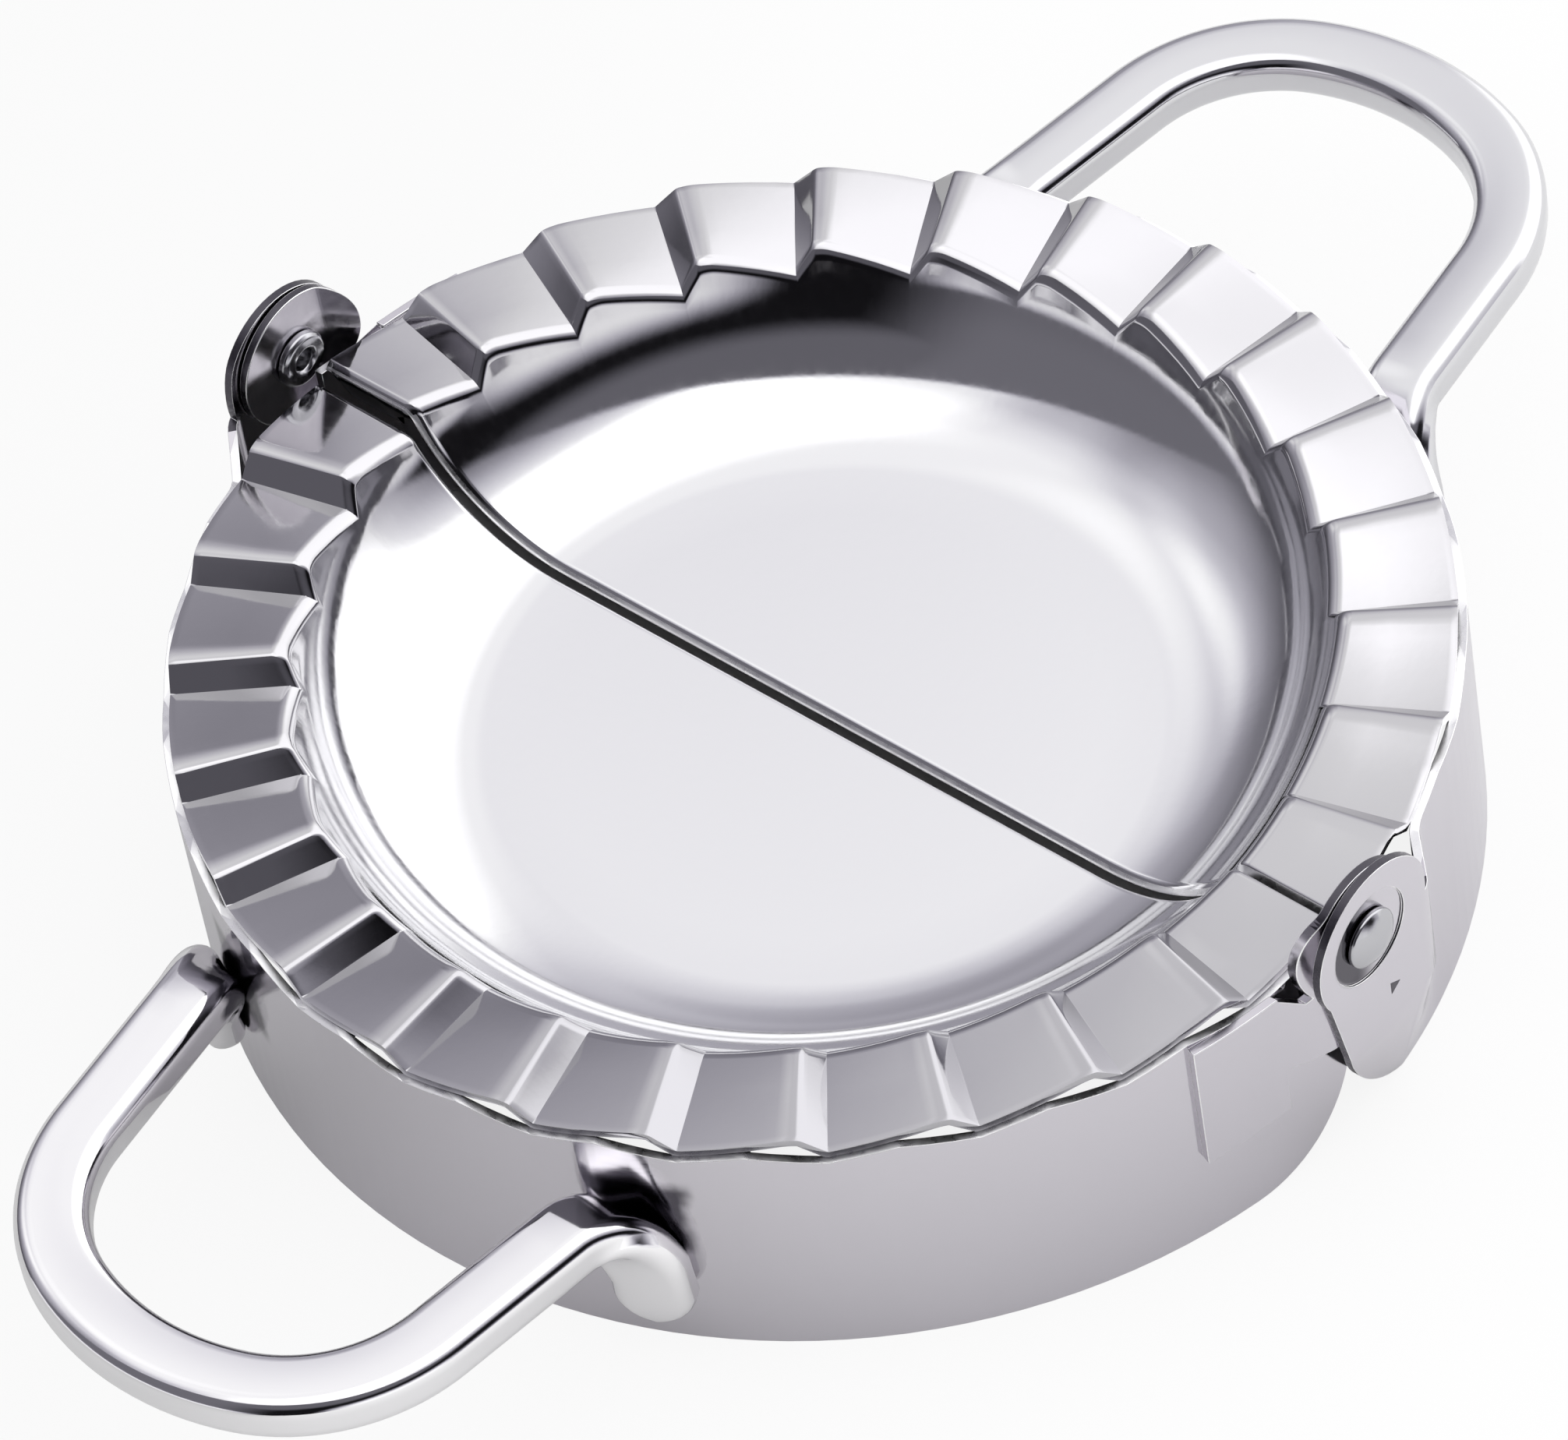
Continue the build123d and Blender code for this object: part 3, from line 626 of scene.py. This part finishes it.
for half in ("moving", "fixed"):
    wall = dressed(half + "_cutter_wall", half + "_wall_strip", half + "_half", "wall_strip",
                   wall_steel, wall_edge_round, painted_highlight=painted_edge_highlight)
    # the wall's flat top edge takes the painted highlight
    sort_faces(wall, 1, lambda middle, normal: (
        normal.z > 0.8 and middle.z > wall_top_from and abs(middle.x) < wall_top_to))
    # the ear's edges take the painted shade
    wall.data.materials.append(painted_edge_shade_and_mark)
    sort_faces(wall, 2, lambda middle, normal: (
        abs(middle.x) > ear_from and abs(normal.x) < 0.5))

# ---- Hinge brackets ------------------------------------------------------------------
# A small stamped plate is spot-welded on each wall's plain end. It is joggled outwards
# and carries the inner hinge ear.
bracket_end_from = 15.0      # beyond this |y| the plate has its far end,
bracket_ear_from = 49.7      # and beyond this |x| it is the flat inner ear
bracket_edge_round = 0.10
bracket_steel = steel("bracket_plate", tint=(0.63, 0.61, 0.65), roughness=0.18,
                      grain_scale=(900.0, 900.0, 900.0), grain_depth=0.3)
for half, side in (("moving", -1), ("fixed", 1)):
    bracket = dressed(half + "_hinge_bracket", half + "_bracket_plate", half + "_half",
                      "bracket_plate", bracket_steel, bracket_edge_round, painted_highlight=painted_edge_highlight)
    bracket.data.materials.append(painted_edge_shade_and_mark)
    # the plate's far end and its ear's edges take the painted shade
    sort_faces(bracket, 2, lambda middle, normal: (
        (abs(middle.y) > bracket_end_from and normal.x * side < -0.3)
        or (abs(middle.x) > bracket_ear_from and abs(normal.x) < 0.5)))

# ---- Rivets --------------------------------------------------------------------------
# A semi-tubular steel rivet at each end of the hinge line: a low domed head outside the
# outer ear, and a hollow tail rolled over inside.
head_from = 51.0             # beyond this |x| lies the head,
head_share = 0.88            # which leaves a little of its seat in sight all round
rivet_edge_round = 0.10
rivet_steel = steel("rivet", tint=(0.50, 0.50, 0.52), roughness=0.18,
                    grain_scale=(1500.0, 1500.0, 1500.0), grain_depth=0.5)
for end, side in (("right", 1), ("left", -1)):
    rivet = dressed(end + "_hinge_rivet", end + "_rivet", "fixed_half", "rivet", rivet_steel,
                    rivet_edge_round)
    for vert in rivet.data.vertices:
        if vert.co.x * side > head_from * MM:
            vert.co.y *= head_share
            above = vert.co.z / MM - hinge_height
            vert.co.z = (hinge_height + above * head_share) * MM

# each outer ear carries a small three-cornered mark left by the press tool
mark_place = Vector((51.16, 1.9, 14.9))
mark_radius, mark_floor_radius, mark_thickness = 0.75, 0.60, 0.05
for half, side in (("moving", 1), ("fixed", -1)):
    bm = bmesh.new()
    bmesh.ops.create_cone(bm, cap_ends=True, segments=3, radius1=mark_radius * MM,
                          radius2=mark_floor_radius * MM, depth=mark_thickness * MM)
    bmesh.ops.rotate(bm, verts=bm.verts, cent=(0, 0, 0),
                     matrix=Matrix.Rotation(side * pi / 2, 3, "Y"))
    bmesh.ops.translate(bm, verts=bm.verts, vec=Vector((
        side * mark_place.x, side * mark_place.y, mark_place.z)) * MM)
    mark = piece(half + "_ear_mark", bm, half + "_half", "wall_strip")
    mark.data.materials.append(painted_edge_shade_and_mark)

# ---- Weld beads ----------------------------------------------------------------------
# Small dull beads in the corner under the rim hold each pan inside its wall.
weld_steel = steel("weld_bead", tint=(0.35, 0.34, 0.34), roughness=0.35,
                   grain_scale=(2500.0, 2500.0, 2500.0), grain_depth=0.9)
for half in ("moving", "fixed"):
    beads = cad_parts[half + "_pan_welds"]
    beads.data.materials.clear()
    beads.data.materials.append(weld_steel)

# ---- Handles -------------------------------------------------------------------------
# Each handle is a flat-topped steel bar bent to a loop. Its two ends turn down and are
# spot-welded flat on the wall, a little off the middle of the half.
handle_grain = (500.0, 500.0, 500.0)
# painted light and shade: one steel, darker on the moving handle and lighter on the fixed one
moving_handle_shaded_steel = steel("moving_handle", tint=(0.71, 0.71, 0.725), roughness=0.10,
                            grain_scale=handle_grain, grain_depth=0.25)
fixed_handle_lit_steel = steel("fixed_handle", tint=(0.86, 0.855, 0.865), roughness=0.08,
                           grain_scale=handle_grain, grain_depth=0.25)
bar_width = 5.5
bar_height = 3.8
bar_edge = 1.25
section_inset = 0.8          # place of a side's own vertices, as a share of its half width
bar_middle = 14.7
handle_shift = -1.4
tip_centre, tip_bend = 51.1, 21.95
corner_centre, corner_bend = Vector((2.838, 58.580, 0.0)), 13.95
corner_start = radians(20.78)
leg_lean = radians(7.4)
leg_gauge = Vector((17.5, 54.0, 0.0))
# places along a leg, from the split line; it starts to turn down at the last
leg_places = (58.0, 55.5, 53.0, 50.8, 48.6)
wall_outer = 48.2
foot_middle = 21.8
foot_sheet = 2.9
foot_width = 6.2
foot_top = 9.4
foot_shift = 0.25            # sideways along the wall, at the foot's top
toe_shift = 0.4              # and at its toe
bend_run = 3.0               # how far the bend follows the leg's line,
foot_run, foot_sweep = 3.4, 1.2     # then the foot's line, with a sweep sideways
toe_start = 7.5
toe_thinning = 0.9
toe_end = 0.97               # the last section, as a share of the toe's round end
least_flat = 0.02            # half of what the rounded corners leave of a side, at least
tip_steps, corner_steps, bend_steps, toe_steps = 8, 20, 14, 8


def handle_frames(side):
    """Middle, outward direction, upward direction, width and height from tip to toe."""
    frames = []
    up = Vector((0.0, 0.0, 1.0))
    for step in range(1, tip_steps + 1):
        a = corner_start * step / tip_steps
        out = Vector((side * sin(a), cos(a), 0.0))
        frames.append((Vector((0.0, tip_centre, 0.0)) + out * tip_bend, out, up))
    corner = Vector((side * corner_centre.x, corner_centre.y, 0.0))
    corner_end = pi / 2 - leg_lean
    for step in range(1, corner_steps + 1):
        a = corner_start + (corner_end - corner_start) * step / corner_steps
        out = Vector((side * sin(a), cos(a), 0.0))
        frames.append((corner + out * corner_bend, out, up))
    leg_out = Vector((side * cos(leg_lean), sin(leg_lean), 0.0))
    ahead = Vector((side * sin(leg_lean), -cos(leg_lean), 0.0))
    gauge = Vector((side * leg_gauge.x, leg_gauge.y, 0.0))
    for leg_place in leg_places:
        middle = gauge + ahead * ((leg_gauge.y - leg_place) / cos(leg_lean))
        frames.append((middle, leg_out, up))
    placed = [
        (middle + Vector((handle_shift, 0.0, bar_middle)), out, up, bar_width, bar_height)
        for middle, out, up in frames
    ]
    # the end turns down and a little sideways, until it lies along the wall
    foot_x = side * foot_middle + handle_shift
    turn = asin(foot_x / (wall_outer + foot_sheet))
    off_wall = Vector((sin(turn), cos(turn), 0.0))
    along_wall = Vector((cos(turn), -sin(turn), 0.0)) * side
    standing = Vector((0.0, -split_trim, 0.0)) + off_wall * (wall_outer + foot_sheet / 2)
    first = placed[-1][0]
    last = standing + along_wall * foot_shift + Vector((0.0, 0.0, foot_top))
    pull_first = first + ahead * bend_run
    pull_last = last + Vector((0.0, 0.0, foot_run)) - along_wall * foot_sweep
    for step in range(1, bend_steps + 1):
        t = step / bend_steps
        middle = (first * (1 - t)**3 + pull_first * 3 * t * (1 - t)**2
                  + pull_last * 3 * t**2 * (1 - t) + last * t**3)
        course = ((pull_first - first) * (1 - t)**2 + (pull_last - pull_first) * 2 * t * (1 - t)
                  + (last - pull_last) * t**2).normalized()
        out = leg_out.lerp(along_wall, t * t * (3 - 2 * t))
        out = (out - course * out.dot(course)).normalized()
        up = course.cross(out) * side
        placed.append((middle, out, up, bar_width + (foot_width - bar_width) * t,
                       bar_height + (foot_sheet - bar_height) * t))
    # the toe's end is round, so its width shrinks as a circle's does
    for step in range(1, toe_steps + 1):
        sink = step / toe_steps * toe_end
        low = toe_start - foot_width / 2 * sink
        middle = standing + along_wall * toe_shift + Vector((0.0, 0.0, low))
        placed.append((middle, along_wall, -off_wall, foot_width * sqrt(1 - sink**2),
                       foot_sheet - toe_thinning * sink**4))
    return placed


def make_handle(name, body, node, finish, mirrored):
    """One loop: the bar's section, drawn from one toe round to the other."""
    # the section is a ring of 28 points: six on each corner's arc, and one on each side
    bm = bmesh.new()
    core = bm.verts.layers.float_vector.new("core")
    round_off = bm.verts.layers.float_vector.new("round_off")
    ring = bmesh.ops.create_circle(bm, segments=28, radius=1.0, cap_ends=False)["verts"]
    ring.sort(key=lambda vert: atan2(vert.co.y, vert.co.x) % (2 * pi))
    for number, vert in enumerate(ring):
        corner, step = divmod(number, 7)
        sign_x, sign_y = ((1, 1), (-1, 1), (-1, -1), (1, -1))[corner]
        if step < 6:
            a = pi / 2 * (corner + step / 5)
            vert[core] = (sign_x, sign_y, 0.0)
            vert[round_off] = (cos(a), sin(a), 0.0)
        else:
            vert[core] = ((section_inset * sign_x, sign_y, 0.0),
                          (sign_x, section_inset * sign_y, 0.0))[corner % 2]
            a = pi / 2 * (corner + 1)
            vert[round_off] = (cos(a), sin(a), 0.0)
    path = handle_frames(1)[::-1]
    path.append((Vector((handle_shift, tip_centre + tip_bend, bar_middle)),
                 Vector((0.0, 1.0, 0.0)), Vector((0.0, 0.0, 1.0)), bar_width, bar_height))
    path += handle_frames(-1)
    edges = list({edge for vert in ring for edge in vert.link_edges})
    first_edges = edges
    for number, (middle, out, up, width, high) in enumerate(path):
        if number:
            made = bmesh.ops.extrude_edge_only(bm, edges=edges)["geom"]
            ring = [item for item in made if isinstance(item, bmesh.types.BMVert)]
            edges = [item for item in made if isinstance(item, bmesh.types.BMEdge)
                     and all(vert in ring for vert in item.verts)]
        edge = min(bar_edge, width / 2 - least_flat, high / 2 - least_flat)
        for vert in ring:
            x = vert[core].x * (width / 2 - edge) + vert[round_off].x * edge
            y = vert[core].y * (high / 2 - edge) + vert[round_off].y * edge
            vert.co = (middle + out * x + up * y) * MM
    bmesh.ops.holes_fill(bm, edges=first_edges + edges, sides=0)
    if mirrored:
        bmesh.ops.scale(bm, vec=(1.0, -1.0, 1.0), verts=bm.verts)
    bmesh.ops.recalc_face_normals(bm, faces=bm.faces)
    made = piece(name, bm, body, "handle_bar", node)
    shade(made, sharp_angle=50)
    made.data.materials.append(finish)


make_handle("moving_handle_bar", "moving_half", "moving_handle", moving_handle_shaded_steel,
            mirrored=False)
make_handle("fixed_handle_bar", "fixed_half", "fixed_handle", fixed_handle_lit_steel,
            mirrored=True)
